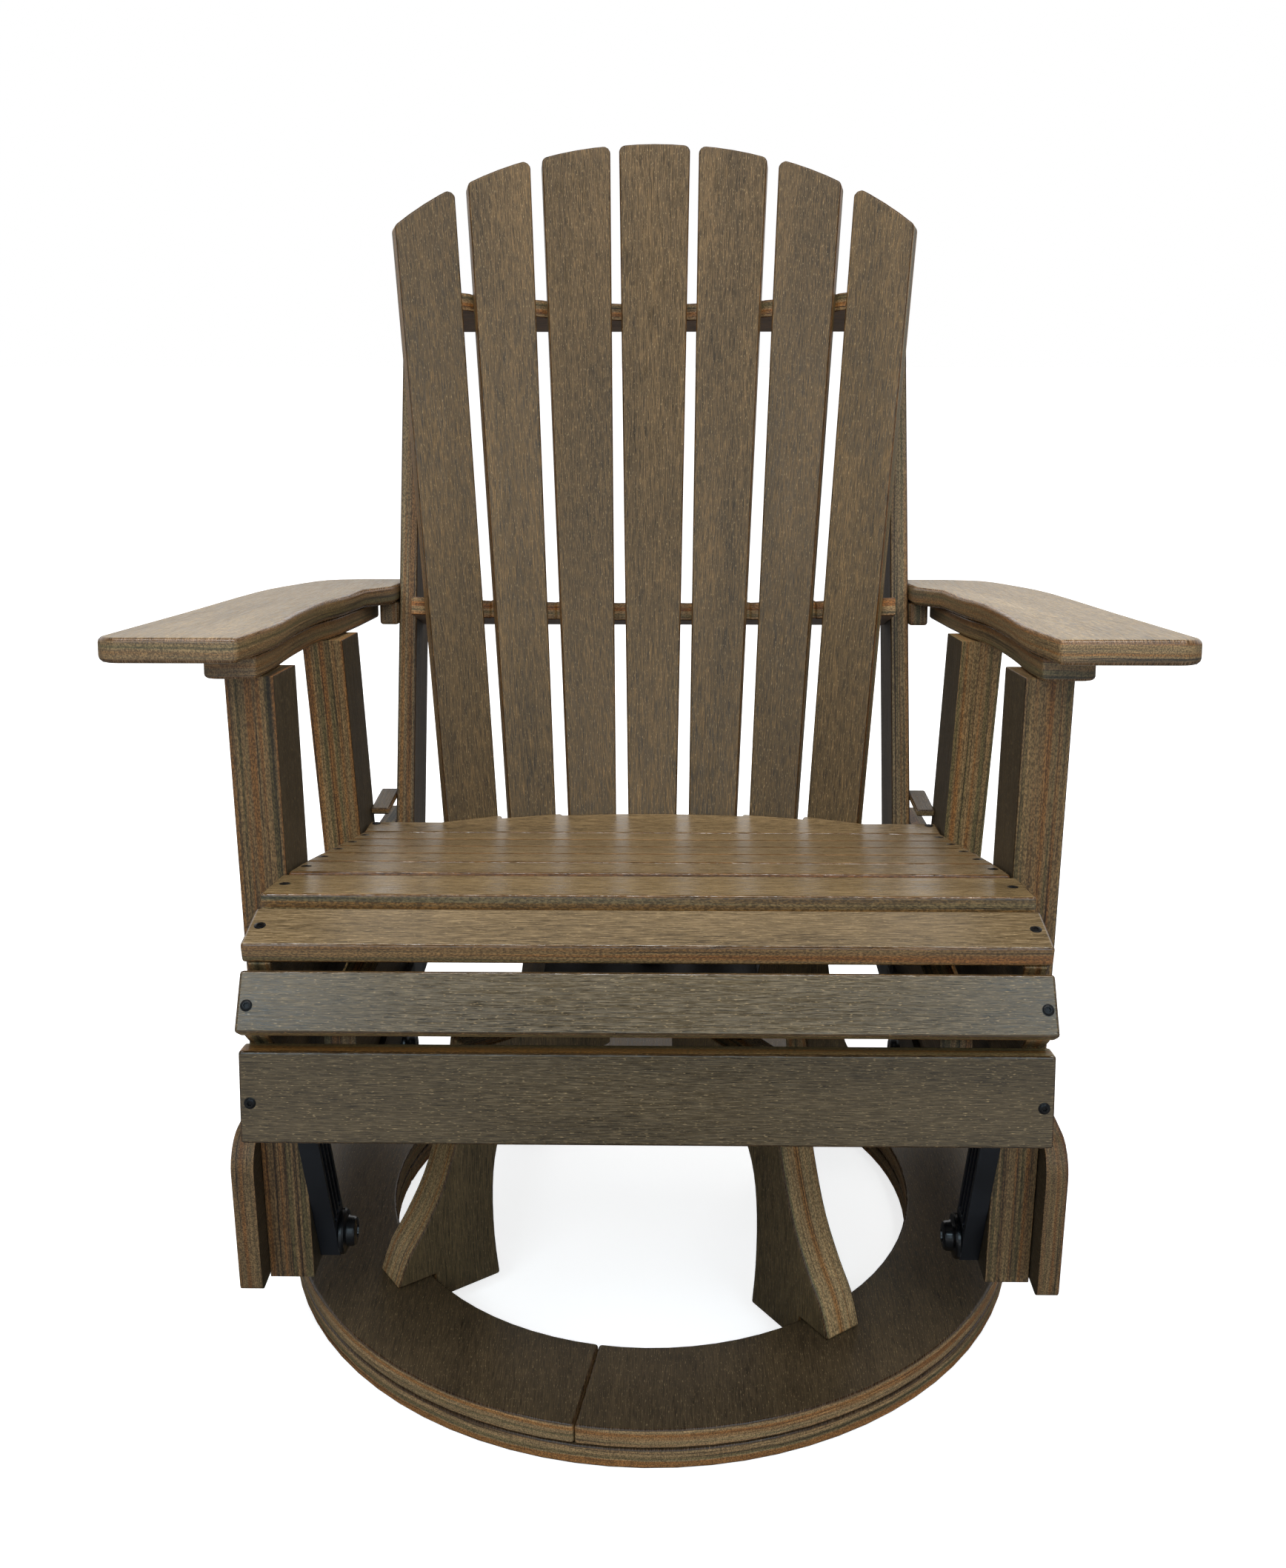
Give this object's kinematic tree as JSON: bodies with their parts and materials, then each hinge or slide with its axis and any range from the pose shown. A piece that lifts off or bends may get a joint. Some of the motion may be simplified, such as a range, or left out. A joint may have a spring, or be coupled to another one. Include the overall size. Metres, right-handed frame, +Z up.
{
  "type": "swivel glider chair",
  "caption": "Outdoor armchair of dark brown plastic-lumber slats with a fan back, hung on swing arms so that it glides, above a ring base on which it turns.",
  "frame": {"origin": "on the floor, under the middle of the chair, on the swivel's vertical axis", "axes": "+Z up, -Y the way the chair faces, +X to the right-hand side of the picture (the sitter's left)"},
  "size_m": [0.797, 0.8028, 1.0622],
  "materials": {
    "seat_slat_board": "dark brown recycled poly-lumber, embossed wood grain, satin",
    "back_slat_board": "dark brown recycled poly-lumber, embossed wood grain, satin",
    "arm_board": "dark brown recycled poly-lumber, embossed wood grain, satin",
    "post_board": "dark brown recycled poly-lumber, embossed wood grain, satin",
    "rail_board": "dark brown recycled poly-lumber, embossed wood grain, satin",
    "frame_board": "dark brown recycled poly-lumber, embossed wood grain, satin",
    "leg_board": "dark brown recycled poly-lumber, embossed wood grain, satin",
    "ring_board": "dark brown recycled poly-lumber, embossed wood grain, satin",
    "black_steel": "black powder coat, satin",
    "swing_arm_plastic": "moulded black, matte"
  },
  "bodies": {
    "base": {"ring_lower_rear": "ring_board", "ring_lower_front": "ring_board", "ring_upper_left": "ring_board", "ring_upper_right": "ring_board", "leg_rear_right": "leg_board", "leg_rear_left": "leg_board", "leg_front_left": "leg_board", "leg_front_right": "leg_board", "swivel_base_plate": "black_steel"},
    "glider_frame": {"swivel_top_frame": "black_steel", "glider_frame_board_left": "frame_board", "glider_frame_board_right": "frame_board", "hanger_bar_left": "black_steel", "hanger_bar_right": "black_steel"},
    "front_swing_arms": {"swing_arm_front_left": "swing_arm_plastic", "swing_arm_front_right": "swing_arm_plastic"},
    "rear_swing_arms": {"swing_arm_rear_left": "swing_arm_plastic", "swing_arm_rear_right": "swing_arm_plastic"},
    "seat": {"seat_slat_1": "seat_slat_board", "seat_slat_2": "seat_slat_board", "seat_slat_3": "seat_slat_board", "seat_slat_4": "seat_slat_board", "seat_slat_5": "seat_slat_board", "seat_slat_6": "seat_slat_board", "seat_lip_slat": "seat_slat_board", "front_slat_upper": "seat_slat_board", "front_slat_lower": "seat_slat_board", "skirt_board": "seat_slat_board", "back_slat_far_left": "back_slat_board", "back_slat_left": "back_slat_board", "back_slat_inner_left": "back_slat_board", "back_slat_center": "back_slat_board", "back_slat_inner_right": "back_slat_board", "back_slat_right": "back_slat_board", "back_slat_far_right": "back_slat_board", "back_rail_upper": "rail_board", "back_rail_middle": "rail_board", "back_rail_lower": "rail_board", "post_front_left": "post_board", "post_front_right": "post_board", "post_rear_left": "post_board", "post_rear_right": "post_board", "low_side_board_left": "post_board", "low_side_board_right": "post_board", "pivot_bolt_front_left": "black_steel", "pivot_bolt_front_right": "black_steel", "pivot_bolt_rear_left": "black_steel", "pivot_bolt_rear_right": "black_steel", "stringer_left": "frame_board", "stringer_right": "frame_board", "upright_left": "frame_board", "upright_right": "frame_board", "tie_block_left": "frame_board", "tie_block_right": "frame_board", "arm_left": "arm_board", "arm_right": "arm_board", "arm_sub_rail_left": "arm_board", "arm_sub_rail_right": "arm_board", "arm_cleat_left": "arm_board", "arm_cleat_right": "arm_board"}
  },
  "joints": [
    {"name": "swivel", "type": "hinge", "parent": "base", "child": "glider_frame", "pos_m": [0, 0, 0.2721], "axis": [0, 0, 1], "continuous": true},
    {"name": "glide", "type": "hinge", "parent": "glider_frame", "child": "front_swing_arms", "pos_m": [0, -0.26135, 0.2796], "axis": [1, 0, 0], "range_deg": [-12, 12]},
    {"name": "seat_on_front_arms", "type": "hinge", "parent": "front_swing_arms", "child": "seat", "pos_m": [0, -0.202, 0.112], "axis": [1, 0, 0], "range_deg": [-15.5, 15.5]},
    {"name": "rear_arms_follow", "type": "hinge", "parent": "glider_frame", "child": "rear_swing_arms", "pos_m": [0, 0.16693, 0.28653], "axis": [1, 0, 0], "range_deg": [-12, 12]}
  ],
  "couplings": [
    {"joint": "seat_on_front_arms", "follows": "glide", "ratio": -1.2781},
    {"joint": "rear_arms_follow", "follows": "glide", "ratio": 0.9621}
  ]
}
